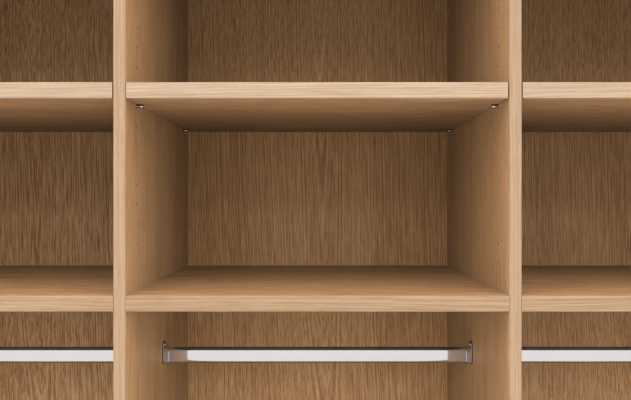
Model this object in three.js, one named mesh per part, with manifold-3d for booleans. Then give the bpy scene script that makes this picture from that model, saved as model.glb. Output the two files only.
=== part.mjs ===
// An open wardrobe of three equal bays, built as a system-furniture carcass in oak-faced board.
// Four uprights carry doweled boards, grooved-in backs, one adjustable shelf and one oval rail in each bay.
// Millimetres: X runs from left to right, Y from the front to the wall, Z up from the floor.

import * as THREE from 'three';
import { mergeVertices } from 'three/addons/utils/BufferGeometryUtils.js';
import Module from 'manifold-3d';

const wasm = await Module();
wasm.setup();

// Bays and boards. Each list is read from left to right.
const bayNames = ['left', 'centre', 'right'];
const uprightNames = ['side_panel_left', 'partition_left', 'partition_right', 'side_panel_right'];
const bayWidth = 590;
const carcassHeight = 2200;
const boardDepth = 560;
const boardThickness = 25;
const uprightThickness = 19;
const backPanelThickness = 8;
const rearRecess = 11.9;
const topSpaceHeight = 303;

// Joints. Blind bores from both faces of a shared upright leave a web of solid board between them.
const jointGap = 0.1;
const fitGap = 0.3;
const boreWeb = 3;
const grooveWeb = 7;
const dowelRadius = 4;
const dowelInset = 90;
const cutOverrun = 2;

// Base
const glideHeight = 4.9;
const glideRadius = 8;
const glideChamfer = 1;
const glideStemRadius = 2.5;
const glideStemLength = 13;
const glideClearance = 10;
const glideRearInset = 60;
const plinthHeight = 70;
const plinthThickness = 16;
const plinthSetback = 30;
const plinthDowelInset = 18;

// Rows of holes for the shelf pins, on a regular pitch above the fixed shelf
const holePitch = 32;
const holeRadius = 2.5;
const firstHoleRise = 44;
const shelfHoleSteps = 8;
const frontRowSetback = 72;
const rowSpacingSteps = 13;

// Shelf pins and the adjustable shelf that lies on them
const pinCollarRadius = 4;
const pinCollarThickness = 0.6;
const pinBarrelRadius = 3;
const pinBarrelLength = 11;
const pinChamfer = 0.5;
const shelfEndGap = 1.5;
const shelfSideShift = 0.6;
const shelfRearGap = 4;

// Hanging rail, an oval tube
const railHeight = 30;
const railWidth = 15;
const railWall = 1.2;
const railDrop = 123;
const railSetback = 286;
const railEndGap = 0.5;

// Rail bracket, a plate with a cup that is open at the top, held by a peg and a screw
const bracketPlateThickness = 3;
const bracketCupWall = 3;
const bracketCupDepth = 12;
const bracketTabRise = 20.5;
const bracketTabRadius = 6;
const bracketPegDrop = 11.5;
const screwShankRadius = 1.8;
const screwTipLength = 2;
const screwHeadRadius = 3.6;
const screwHeadHeight = 2.4;
const screwHeadTopShare = 0.6;
const screwHeadEdgeShare = 0.4;

// Wall bracket, an angle on the top panel
const wallBracketWidth = 30;
const wallBracketLeg = 60;
const wallBracketRise = 45;
const wallBracketThickness = 2.5;
const wallBracketHoleRadius = 2.8;
const wallBracketHoleInset = 14;

// Flat sides that stand for each round
const boreSides = 8;
const roundSides = 8;
const glideSides = 8;
const arcSegments = 4;

// Places that follow from the sizes above. Y is counted back from the front edges here.
const bayPitch = bayWidth + uprightThickness;
const backPanelFront = boardDepth + jointGap;
const uprightDepth = backPanelFront + backPanelThickness + rearRecess;
const uprightLow = glideHeight + jointGap;
const boreDepth = (uprightThickness - boreWeb) / 2;
const seatDepth = boreDepth - fitGap;
const grooveDepth = (uprightThickness - grooveWeb) / 2;
const plinthTop = uprightLow + plinthHeight;
const bottomPanelLow = plinthTop + jointGap;
const topPanelLow = carcassHeight - boardThickness;
const adjustableShelfLow = topPanelLow - topSpaceHeight - boardThickness;
const pinHeight = adjustableShelfLow - fitGap - pinBarrelRadius;
const fixedShelfTop = pinHeight - firstHoleRise - shelfHoleSteps * holePitch;
const fixedShelfLow = fixedShelfTop - boardThickness;
const holeSpace = topPanelLow - fixedShelfTop - 2 * firstHoleRise;
const holesPerRow = Math.floor(holeSpace / holePitch) + 1;
const rowSetbacks = [frontRowSetback, frontRowSetback + rowSpacingSteps * holePitch];
const dowelSetbacks = [dowelInset, boardDepth - dowelInset];
const plinthDowelSetback = plinthSetback + plinthThickness / 2;
const plinthDowelHeights = [uprightLow + plinthDowelInset, plinthTop - plinthDowelInset];
const glideFrontSetback = plinthSetback + plinthThickness + glideClearance + glideRadius;
const glideSetbacks = [glideFrontSetback, uprightDepth - glideRearInset];
const railCentre = fixedShelfLow - railDrop;
const pegRadius = holeRadius - fitGap;

// Materials
const oakBoard = new THREE.MeshStandardMaterial({ color: '#c49a6c', roughness: 0.6, flatShading: true });
const oakShelf = new THREE.MeshStandardMaterial({ color: '#cba376', roughness: 0.58, flatShading: true });
const oakBack = new THREE.MeshStandardMaterial({ color: '#b98f63', roughness: 0.62, flatShading: true });
const chrome = new THREE.MeshStandardMaterial({
  color: '#dcdcde', roughness: 0.12, metalness: 1, flatShading: true,
});
const nickel = new THREE.MeshStandardMaterial({
  color: '#b9b4ab', roughness: 0.25, metalness: 1, flatShading: true,
});
const zinc = new THREE.MeshStandardMaterial({
  color: '#c3c6c8', roughness: 0.35, metalness: 1, flatShading: true,
});
const blackPlastic = new THREE.MeshStandardMaterial({ color: '#2b2a29', roughness: 0.7, flatShading: true });

// Turns a closed geometry into a solid that can be joined and cut.
function solidOf(geometry) {
  geometry.deleteAttribute('normal');
  geometry.deleteAttribute('uv');
  const merged = mergeVertices(geometry);
  return new wasm.Manifold(new wasm.Mesh({
    numProp: 3,
    vertProperties: merged.attributes.position.array,
    triVerts: new Uint32Array(merged.index.array),
  }));
}

function geometryOf(solid) {
  const mesh = solid.getMesh();
  const geometry = new THREE.BufferGeometry();
  geometry.setAttribute('position', new THREE.BufferAttribute(mesh.vertProperties, 3));
  geometry.setIndex(new THREE.BufferAttribute(mesh.triVerts, 1));
  geometry.computeVertexNormals();
  return geometry;
}

function block(lowX, highX, lowY, highY, lowZ, highZ) {
  const geometry = new THREE.BoxGeometry(highX - lowX, highY - lowY, highZ - lowZ);
  return geometry.translate((lowX + highX) / 2, (lowY + highY) / 2, (lowZ + highZ) / 2);
}

function rodAlongX(radius, lowX, highX, y, z, sides) {
  const geometry = new THREE.CylinderGeometry(radius, radius, highX - lowX, sides);
  geometry.rotateZ(Math.PI / 2);
  return geometry.translate((lowX + highX) / 2, y, z);
}

function rodAlongY(radius, lowY, highY, x, z, sides) {
  const geometry = new THREE.CylinderGeometry(radius, radius, highY - lowY, sides);
  return geometry.translate(x, (lowY + highY) / 2, z);
}

function rodAlongZ(radius, lowZ, highZ, x, y, sides) {
  const geometry = new THREE.CylinderGeometry(radius, radius, highZ - lowZ, sides);
  geometry.rotateX(Math.PI / 2);
  return geometry.translate(x, y, (lowZ + highZ) / 2);
}

// Extrudes an outline drawn in Y and Z along X, from lowX to highX.
function barAlongX(outline, lowX, highX) {
  const geometry = new THREE.ExtrudeGeometry(outline, {
    depth: highX - lowX, bevelEnabled: false, curveSegments: arcSegments,
  });
  geometry.rotateX(Math.PI / 2);
  geometry.rotateZ(Math.PI / 2);
  return geometry.translate(lowX, 0, 0);
}

// Turns a profile of radius and X about the X axis.
function turnedAboutX(profile) {
  const points = profile.map(([radius, x]) => new THREE.Vector2(radius, x));
  return new THREE.LatheGeometry(points, roundSides).rotateZ(-Math.PI / 2);
}

function place(parent, name, geometry, material, x, y, z) {
  const mesh = new THREE.Mesh(geometry, material);
  mesh.name = name;
  mesh.position.set(x, y, z);
  parent.add(mesh);
  return mesh;
}

// A blind bore into one face of an upright. Face -1 looks left and face 1 looks right.
function boreInto(face, radius, setback, height) {
  const bottom = face * boreWeb / 2;
  const mouth = face * (uprightThickness / 2 + cutOverrun);
  const lowX = Math.min(bottom, mouth);
  const highX = Math.max(bottom, mouth);
  return solidOf(rodAlongX(radius, lowX, highX, setback, height, boreSides));
}

// All that is bored and grooved into one face of an upright, where a bay stands against it.
function cutsInFace(face) {
  const cuts = [];
  for (const setback of rowSetbacks) {
    for (let hole = 0; hole < holesPerRow; hole += 1) {
      const height = fixedShelfTop + firstHoleRise + hole * holePitch;
      cuts.push(boreInto(face, holeRadius, setback, height));
    }
  }
  for (const boardLow of [bottomPanelLow, fixedShelfLow, topPanelLow]) {
    for (const setback of dowelSetbacks) {
      cuts.push(boreInto(face, dowelRadius + fitGap, setback, boardLow + boardThickness / 2));
    }
  }
  for (const height of plinthDowelHeights) {
    cuts.push(boreInto(face, dowelRadius + fitGap, plinthDowelSetback, height));
  }
  cuts.push(boreInto(face, holeRadius, railSetback, railCentre - bracketPegDrop));
  cuts.push(boreInto(face, screwShankRadius + fitGap, railSetback, railCentre + bracketTabRise));
  const grooveBottom = face * (uprightThickness / 2 - grooveDepth);
  const grooveMouth = face * (uprightThickness / 2 + cutOverrun);
  cuts.push(solidOf(block(
    Math.min(grooveBottom, grooveMouth), Math.max(grooveBottom, grooveMouth),
    backPanelFront - fitGap, backPanelFront + backPanelThickness + fitGap,
    uprightLow - cutOverrun, carcassHeight + cutOverrun,
  )));
  return cuts;
}

// One upright, standing on two glides whose stems go up into its lower edge.
function uprightGeometry(faces) {
  const halfThickness = uprightThickness / 2;
  let upright = solidOf(block(-halfThickness, halfThickness, 0, uprightDepth, uprightLow, carcassHeight));
  const cuts = faces.flatMap(cutsInFace);
  for (const setback of glideSetbacks) {
    const stemTop = glideHeight + glideStemLength + fitGap;
    const bore = rodAlongZ(glideStemRadius + fitGap, uprightLow - cutOverrun, stemTop, 0, setback, glideSides);
    cuts.push(solidOf(bore));
  }
  for (const cut of cuts) {
    upright = upright.subtract(cut);
  }
  return geometryOf(upright);
}

function glideGeometry() {
  const profile = [
    [0, 0], [glideRadius - glideChamfer, 0], [glideRadius, glideChamfer], [glideRadius, glideHeight],
    [glideStemRadius, glideHeight], [glideStemRadius, glideHeight + glideStemLength],
    [0, glideHeight + glideStemLength],
  ];
  const points = profile.map(([radius, z]) => new THREE.Vector2(radius, z));
  return new THREE.LatheGeometry(points, glideSides).rotateX(Math.PI / 2);
}

// A board between two uprights. Each rod runs right through it, so a dowel stands out of both ends.
function doweledBoard(lowY, highY, height, dowels) {
  const halfWidth = bayWidth / 2;
  const dowelReach = halfWidth + seatDepth;
  let board = solidOf(block(jointGap - halfWidth, halfWidth - jointGap, lowY, highY, 0, height));
  for (const [setback, rise] of dowels) {
    const rod = rodAlongX(dowelRadius, -dowelReach, dowelReach, setback, rise, boreSides);
    board = board.add(solidOf(rod));
  }
  return geometryOf(board);
}

function fixedBoardGeometry() {
  const dowels = dowelSetbacks.map((setback) => [setback, boardThickness / 2]);
  return doweledBoard(0, boardDepth, boardThickness, dowels);
}

function plinthGeometry() {
  const dowels = plinthDowelHeights.map((height) => [plinthDowelSetback, height - uprightLow]);
  return doweledBoard(plinthSetback, plinthSetback + plinthThickness, plinthHeight, dowels);
}

function adjustableShelfGeometry() {
  const halfLength = bayWidth / 2 - shelfEndGap;
  return block(-halfLength, halfLength, 0, boardDepth - shelfRearGap, 0, boardThickness);
}

// The back slides down in the grooves, behind the boards, and stands level with the top panel.
function backPanelGeometry() {
  const halfWidth = bayWidth / 2 + grooveDepth - fitGap;
  const backPanelRear = backPanelFront + backPanelThickness;
  return block(-halfWidth, halfWidth, backPanelFront, backPanelRear, bottomPanelLow, carcassHeight);
}

// The peg goes into the upright, the collar lies against it and the barrel carries the shelf.
function shelfPinGeometry() {
  const barrelEnd = pinCollarThickness + pinBarrelLength;
  return turnedAboutX([
    [0, -seatDepth], [pegRadius - pinChamfer, -seatDepth], [pegRadius, pinChamfer - seatDepth],
    [pegRadius, 0], [pinCollarRadius, 0], [pinCollarRadius, pinCollarThickness],
    [pinBarrelRadius, pinCollarThickness], [pinBarrelRadius, barrelEnd - pinChamfer],
    [pinBarrelRadius - pinChamfer, barrelEnd], [0, barrelEnd],
  ]);
}

// An upright oval: straight sides between two half rounds.
function ovalOutline(outline, halfWidth, halfHeight) {
  const arcCentre = halfHeight - halfWidth;
  outline.moveTo(halfWidth, -arcCentre);
  outline.lineTo(halfWidth, arcCentre);
  outline.absarc(0, arcCentre, halfWidth, 0, Math.PI, false);
  outline.lineTo(-halfWidth, -arcCentre);
  outline.absarc(0, -arcCentre, halfWidth, Math.PI, 2 * Math.PI, false);
  return outline;
}

function railGeometry() {
  const outline = ovalOutline(new THREE.Shape(), railWidth / 2, railHeight / 2);
  const bore = ovalOutline(new THREE.Path(), railWidth / 2 - railWall, railHeight / 2 - railWall);
  outline.holes.push(bore);
  const halfLength = bayWidth / 2 - jointGap - bracketPlateThickness - railEndGap;
  return barAlongX(outline, -halfLength, halfLength);
}

// Drawn about the middle of the rail, with X counted from the back of the plate into the bay.
function railBracketGeometry() {
  const arcCentre = (railHeight - railWidth) / 2;
  const cupInner = railWidth / 2 + fitGap;
  const cupOuter = cupInner + bracketCupWall;

  const plate = new THREE.Shape();
  plate.absarc(0, -arcCentre, cupOuter, Math.PI, 2 * Math.PI, false);
  plate.lineTo(cupOuter, arcCentre);
  plate.absarc(0, bracketTabRise, bracketTabRadius, 0, Math.PI, false);
  plate.lineTo(-cupOuter, arcCentre);
  plate.closePath();
  const screwHole = new THREE.Path();
  screwHole.absarc(0, bracketTabRise, screwShankRadius + fitGap, 0, 2 * Math.PI, false);
  plate.holes.push(screwHole);

  const cup = new THREE.Shape();
  cup.absarc(0, -arcCentre, cupOuter, Math.PI, 2 * Math.PI, false);
  cup.lineTo(cupOuter, arcCentre);
  cup.lineTo(cupInner, arcCentre);
  cup.absarc(0, -arcCentre, cupInner, 2 * Math.PI, Math.PI, true);
  cup.lineTo(-cupInner, arcCentre);
  cup.lineTo(-cupOuter, arcCentre);
  cup.closePath();

  const peg = rodAlongX(pegRadius, -seatDepth, bracketPlateThickness / 2, 0, -bracketPegDrop, boreSides);
  const bracket = solidOf(barAlongX(plate, 0, bracketPlateThickness))
    .add(solidOf(barAlongX(cup, 0, bracketCupDepth)))
    .add(solidOf(peg));
  return geometryOf(bracket);
}

function railScrewGeometry() {
  const headLow = bracketPlateThickness + jointGap;
  const headTop = headLow + screwHeadHeight;
  return turnedAboutX([
    [0, -seatDepth], [screwShankRadius, screwTipLength - seatDepth], [screwShankRadius, headLow],
    [screwHeadRadius, headLow], [screwHeadRadius, headLow + screwHeadHeight * screwHeadEdgeShare],
    [screwHeadRadius * screwHeadTopShare, headTop], [0, headTop],
  ]);
}

// Drawn from the corner where the rear face of the angle meets the underside of its lying leg.
function wallBracketGeometry() {
  const outline = new THREE.Shape();
  outline.moveTo(0, 0);
  outline.lineTo(0, wallBracketRise);
  outline.lineTo(-wallBracketThickness, wallBracketRise);
  outline.lineTo(-wallBracketThickness, wallBracketThickness);
  outline.lineTo(-wallBracketLeg, wallBracketThickness);
  outline.lineTo(-wallBracketLeg, 0);
  outline.closePath();
  const halfWidth = wallBracketWidth / 2;
  const lyingHole = rodAlongZ(
    wallBracketHoleRadius, -cutOverrun, wallBracketThickness + cutOverrun,
    0, wallBracketHoleInset - wallBracketLeg, boreSides,
  );
  const standingHole = rodAlongY(
    wallBracketHoleRadius, -wallBracketThickness - cutOverrun, cutOverrun,
    0, wallBracketRise - wallBracketHoleInset, boreSides,
  );
  const bracket = solidOf(barAlongX(outline, -halfWidth, halfWidth))
    .subtract(solidOf(lyingHole))
    .subtract(solidOf(standingHole));
  return geometryOf(bracket);
}

// The front edges of the uprights and boards lie on Y zero of this group, which centres the depth.
const wardrobe = new THREE.Group();
const carcass = new THREE.Group();
carcass.position.y = -uprightDepth / 2;
wardrobe.add(carcass);

const firstUprightX = -bayPitch * bayNames.length / 2;
uprightNames.forEach((name, index) => {
  const faces = [];
  if (index > 0) {
    faces.push(-1);
  }
  if (index < bayNames.length) {
    faces.push(1);
  }
  const x = firstUprightX + index * bayPitch;
  place(carcass, name, uprightGeometry(faces), oakBoard, x, 0, 0);
  place(carcass, `${name}_glide_front`, glideGeometry(), blackPlastic, x, glideSetbacks[0], 0);
  place(carcass, `${name}_glide_rear`, glideGeometry(), blackPlastic, x, glideSetbacks[1], 0);
});

// The loose shelf of the middle bay lies pushed to the left, close to the collars of its pins.
const shelfPlaces = [0, -shelfSideShift, 0];

bayNames.forEach((bayName, index) => {
  const bay = new THREE.Group();
  bay.position.x = firstUprightX + (index + 1 / 2) * bayPitch;
  carcass.add(bay);
  const prefix = `${bayName}_bay`;

  place(bay, `${prefix}_plinth_board`, plinthGeometry(), oakBoard, 0, 0, uprightLow);
  place(bay, `${prefix}_bottom_panel`, fixedBoardGeometry(), oakShelf, 0, 0, bottomPanelLow);
  place(bay, `${prefix}_fixed_shelf`, fixedBoardGeometry(), oakShelf, 0, 0, fixedShelfLow);
  const shelfX = shelfPlaces[index];
  const shelfName = `${prefix}_adjustable_shelf`;
  place(bay, shelfName, adjustableShelfGeometry(), oakShelf, shelfX, 0, adjustableShelfLow);
  place(bay, `${prefix}_top_panel`, fixedBoardGeometry(), oakShelf, 0, 0, topPanelLow);
  place(bay, `${prefix}_back_panel`, backPanelGeometry(), oakBack, 0, 0, 0);
  place(bay, `${prefix}_hanging_rail`, railGeometry(), chrome, 0, railSetback, railCentre);
  const bracketHeight = carcassHeight + jointGap;
  place(bay, `${prefix}_wall_bracket`, wallBracketGeometry(), zinc, 0, uprightDepth, bracketHeight);

  // What is fixed to the faces of the uprights is the same on both sides, turned to look into the bay.
  for (const [sideName, side, turn] of [['left', -1, 0], ['right', 1, Math.PI]]) {
    const faceX = side * (bayWidth / 2 - jointGap);
    const bracketName = `${prefix}_rail_bracket_${sideName}`;
    const screwName = `${prefix}_rail_screw_${sideName}`;
    const bracket = place(bay, bracketName, railBracketGeometry(), chrome, faceX, railSetback, railCentre);
    const screwRise = railCentre + bracketTabRise;
    const screw = place(bay, screwName, railScrewGeometry(), nickel, faceX, railSetback, screwRise);
    const pins = rowSetbacks.map((setback, row) => {
      const pinName = `${prefix}_shelf_pin_${['front', 'rear'][row]}_${sideName}`;
      return place(bay, pinName, shelfPinGeometry(), nickel, faceX, setback, pinHeight);
    });
    for (const piece of [bracket, screw, ...pins]) {
      piece.rotation.z = turn;
    }
  }
});

export default wardrobe;
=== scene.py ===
import math
import random

import bmesh
import bpy
from mathutils import Euler, Matrix, Vector


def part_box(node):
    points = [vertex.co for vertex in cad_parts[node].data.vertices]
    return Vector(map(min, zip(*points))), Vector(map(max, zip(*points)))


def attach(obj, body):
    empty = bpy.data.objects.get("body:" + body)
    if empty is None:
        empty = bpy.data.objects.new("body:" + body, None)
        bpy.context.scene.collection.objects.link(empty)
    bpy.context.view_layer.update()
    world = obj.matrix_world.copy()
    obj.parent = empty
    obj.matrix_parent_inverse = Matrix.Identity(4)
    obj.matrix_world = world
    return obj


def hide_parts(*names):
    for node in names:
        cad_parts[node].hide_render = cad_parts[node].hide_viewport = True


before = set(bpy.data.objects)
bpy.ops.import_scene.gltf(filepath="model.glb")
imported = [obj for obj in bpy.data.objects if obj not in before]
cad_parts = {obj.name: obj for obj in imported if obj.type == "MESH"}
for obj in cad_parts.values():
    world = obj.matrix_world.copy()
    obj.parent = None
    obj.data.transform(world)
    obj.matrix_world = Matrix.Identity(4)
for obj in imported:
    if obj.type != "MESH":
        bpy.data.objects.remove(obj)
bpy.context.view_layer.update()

# Glides
# Eight black nylon feet, one near each end of the lower edge of every upright.
# Each is moulded in one piece: a hollowed sole, a rounded rim and a barbed stem pressed into its bore.
mm = 0.001
uprights = ("side_panel_left", "partition_left", "partition_right", "side_panel_right")


def middle_of(node):
    """The middle of the box of a CAD node."""
    low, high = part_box(node)
    return (low + high) / 2


def clear_hands():
    """Leaves edit mode with nothing selected, so that the next operator acts only on what it makes."""
    if bpy.context.object and bpy.context.object.mode != "OBJECT":
        bpy.ops.object.mode_set(mode="OBJECT")
    bpy.ops.object.select_all(action="DESELECT")


def settled(name):
    """Names the primitive that was just added, and puts its place and size into its mesh."""
    bpy.ops.object.transform_apply(location=True, rotation=True, scale=True)
    piece = bpy.context.object
    piece.name = name
    return piece


def take(piece):
    """Makes one piece the active and only selected one."""
    clear_hands()
    bpy.context.view_layer.objects.active = piece
    piece.select_set(True)


def turn_on_lathe(name, sides, profile):
    """A round piece on Z, drawn out and scaled through steps of radius and height, both in millimetres."""
    clear_hands()
    profile = [(radius * mm, height * mm) for radius, height in profile]
    radius, height = profile[0]
    bpy.ops.mesh.primitive_circle_add(
        vertices=sides, radius=radius, fill_type="NGON", location=(0, 0, height))
    piece = settled(name)
    bpy.ops.object.mode_set(mode="EDIT")
    bpy.ops.mesh.select_all(action="SELECT")
    for next_radius, next_height in profile[1:]:
        bpy.ops.mesh.extrude_region_move(
            TRANSFORM_OT_translate={"value": (0, 0, next_height - height)})
        ratio = next_radius / radius
        bpy.ops.transform.resize(value=(ratio, ratio, 1), center_override=(0, 0, next_height))
        radius, height = next_radius, next_height
    bpy.ops.mesh.select_all(action="SELECT")
    bpy.ops.mesh.normals_make_consistent(inside=False)
    bpy.ops.object.mode_set(mode="OBJECT")
    return piece


def repeated(steps, count, start, pitch):
    """The same steps of a profile again and again, as for barbs, grooves and threads."""
    return [(radius, start + turn * pitch + rise) for turn in range(count) for radius, rise in steps]


def smooth(piece, degrees=32):
    """Rounds the shading where faces meet at less than this angle."""
    take(piece)
    bpy.ops.object.shade_smooth_by_angle(angle=math.radians(degrees))


def copy_to(piece, name, matrix):
    """A copy of a piece with its own mesh, moved or turned in the mesh itself."""
    twin = piece.copy()
    twin.data = piece.data.copy()
    twin.name = name
    twin.data.name = name
    twin.data.transform(matrix)
    bpy.context.scene.collection.objects.link(twin)
    return twin


def scrap(*pieces):
    for piece in pieces:
        bpy.data.objects.remove(piece)


def seat(piece, body, slot, finish, *stands_for):
    """Gives a piece any finish given and its body, and hides the nodes it stands for. The slot is not used.
    """
    if finish:
        piece.data.materials.clear()
        piece.data.materials.append(finish)
    piece.data.name = piece.name
    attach(piece, body)
    if stands_for:
        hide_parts(*stands_for)
    return piece


def paint(red, green, blue):
    """A colour read off as 0 to 255 on a screen, as the shader wants it."""
    def linear(level):
        share = level / 255
        return share / 12.92 if share <= 0.04045 else ((share + 0.055) / 1.055) ** 2.4
    return linear(red), linear(green), linear(blue), 1.0


def wire(tree, kind, inputs=None, **settings):
    """Adds a shader node. Its inputs get plain values or links from other sockets."""
    made = tree.nodes.new(kind)
    for setting, value in settings.items():
        setattr(made, setting, value)
    for socket, value in (inputs or {}).items():
        if isinstance(value, bpy.types.NodeSocket):
            tree.links.new(value, made.inputs[socket])
        else:
            made.inputs[socket].default_value = value
    return made


def new_finish(name, plain):
    """A material with its even values on the Principled BSDF's own sockets, and its object coordinates."""
    material = bpy.data.materials.new(name)
    material.use_nodes = True
    tree = material.node_tree
    shader = tree.nodes["Principled BSDF"]
    for socket, value in plain.items():
        shader.inputs[socket].default_value = value
    return material, tree, wire(tree, "ShaderNodeTexCoord").outputs["Object"]


def noise(tree, place, scale, detail, **more):
    return wire(tree, "ShaderNodeTexNoise", {
        "Vector": place, "Scale": scale, "Detail": detail, **more}).outputs["Fac"]


def spread(tree, value, lowest, highest, low=0.0, high=1.0):
    """Spreads the values between low and high over a new range."""
    return wire(tree, "ShaderNodeMapRange", {
        "Value": value, "From Min": low, "From Max": high, "To Min": lowest, "To Max": highest,
    }).outputs["Result"]


def blend(tree, share, first, second, kind="RGBA"):
    return wire(tree, "ShaderNodeMix", {
        "Factor": share, "A": first, "B": second}, data_type=kind).outputs["Result"]


def bump(tree, height, strength, depth, **settings):
    return wire(tree, "ShaderNodeBump", {
        "Height": height, "Strength": strength, "Distance": depth}, **settings).outputs["Normal"]


def coat(tree, colour, roughness, normal):
    """Links what changes over the surface to the material's shader."""
    shader = tree.nodes["Principled BSDF"]
    tree.links.new(colour, shader.inputs["Base Color"])
    tree.links.new(roughness, shader.inputs["Roughness"])
    tree.links.new(normal, shader.inputs["Normal"])


def moulded_plastic(name, colour, spark_size):
    """Moulded plastic with a fine spark-eroded skin and slightly uneven gloss."""
    material, tree, place = new_finish(name, {"Specular IOR Level": 0.4})
    spark = noise(tree, place, 1 / spark_size, 3.0)
    cloud = noise(tree, place, 90.0, 2.0)
    darker = tuple(0.85 * level for level in colour[:3]) + (1.0,)
    lighter = tuple(min(1.0, 1.15 * level) for level in colour[:3]) + (1.0,)
    coat(tree, blend(tree, cloud, darker, lighter), spread(tree, cloud, 0.42, 0.62, 0.3, 0.7),
         bump(tree, spark, 0.35, 0.05 * mm))
    return material


glide_low, glide_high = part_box("side_panel_left_glide_front")
glide_rim = (glide_high.x - glide_low.x) / 2 / mm
glide_top = 4.9
stem_radius = 2.5
stem_top = glide_high.z / mm
barb_pitch = 2.6
glide_profile = [
    (4.6, 0.7), (5.2, 0.1), (5.4, 0.0), (glide_rim - 1.2, 0.0), (glide_rim - 0.4, 0.25), (glide_rim, 1.0),
    (glide_rim, glide_top - 0.8), (glide_rim - 0.3, glide_top - 0.2), (glide_rim - 0.8, glide_top),
    (stem_radius - 0.3, glide_top),
]
barb = [(stem_radius - 0.3, 0.0), (stem_radius, 0.3), (stem_radius - 0.4, 2.0)]
glide_profile += repeated(barb, 4, glide_top + 1.2, barb_pitch)
glide_profile += [(stem_radius - 0.5, stem_top - 1.5), (stem_radius - 1.3, stem_top)]
glide = turn_on_lathe("glide", 40, glide_profile)
smooth(glide)
glide_nylon = moulded_plastic("glide_nylon", paint(38, 37, 36), 0.35 * mm)
for upright in uprights:
    for row in ("front", "rear"):
        node = f"{upright}_glide_{row}"
        middle = middle_of(node)
        foot = copy_to(glide, f"{node}_foot", Matrix.Translation((middle.x, middle.y, 0)))
        seat(foot, "carcass", "glide_plastic", glide_nylon, node)
scrap(glide)

# Uprights
# Two side panels and two partitions of 19 mm particle board, faced with oak whose grain stands upright.
# They are bored for pins, dowels and fittings and grooved for the backs; the rear edge is left raw.
bays = ("left", "centre", "right")
band_thickness = 2.0 * mm
overrun = 2.0 * mm
fit = 0.3 * mm


def block(name, low, high):
    """A cube primitive in the space between two corners, with its place in its mesh."""
    clear_hands()
    low, high = Vector(low), Vector(high)
    bpy.ops.mesh.primitive_cube_add(size=1, location=(low + high) / 2, scale=high - low)
    return settled(name)


def drill(radius, start, end, sides=20):
    """A round cutter between two points that differ along one axis."""
    clear_hands()
    start, end = Vector(start), Vector(end)
    turn = (end - start).to_track_quat("Z", "Y").to_euler()
    bpy.ops.mesh.primitive_cylinder_add(
        vertices=sides, radius=radius, depth=(end - start).length,
        location=(start + end) / 2, rotation=turn)
    return settled("bore")


def join(name, pieces):
    """Makes several pieces one, under a new name."""
    take(pieces[0])
    for piece in pieces:
        piece.select_set(True)
    if len(pieces) > 1:
        bpy.ops.object.join()
    pieces[0].name = name
    return pieces[0]


def work_with(piece, kind, **settings):
    """Gives a piece a modifier and applies it."""
    take(piece)
    bpy.ops.object.modifier_add(type=kind)
    modifier = piece.modifiers[-1]
    for setting, value in settings.items():
        setattr(modifier, setting, value)
    bpy.ops.object.modifier_apply(modifier=modifier.name)


def cut_away(piece, cutters, raw):
    """Cuts the cutters out of a piece. What is laid bare gets the raw material."""
    tool = join("tool", cutters)
    tool.data.materials.clear()
    tool.data.materials.append(raw)
    work_with(piece, "BOOLEAN", operation="DIFFERENCE", object=tool, solver="EXACT",
              material_mode="TRANSFER")
    scrap(tool)


def repaint(piece, material, test):
    """Gives the faces that pass the test another material of the same piece."""
    if material.name not in [used.name for used in piece.data.materials]:
        piece.data.materials.append(material)
    index = [used.name for used in piece.data.materials].index(material.name)
    for face in piece.data.polygons:
        if test(face):
            face.material_index = index


def new_effect(name, given, result):
    """A node group and its named inputs and outputs, each with its kind of socket."""
    group = bpy.data.node_groups.new(name, "ShaderNodeTree")
    for side, sockets in (("INPUT", given), ("OUTPUT", result)):
        for socket, kind in sockets.items():
            group.interface.new_socket(socket, in_out=side, socket_type=f"NodeSocket{kind}")
    return group, group.nodes.new("NodeGroupInput").outputs, group.nodes.new("NodeGroupOutput").inputs


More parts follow.
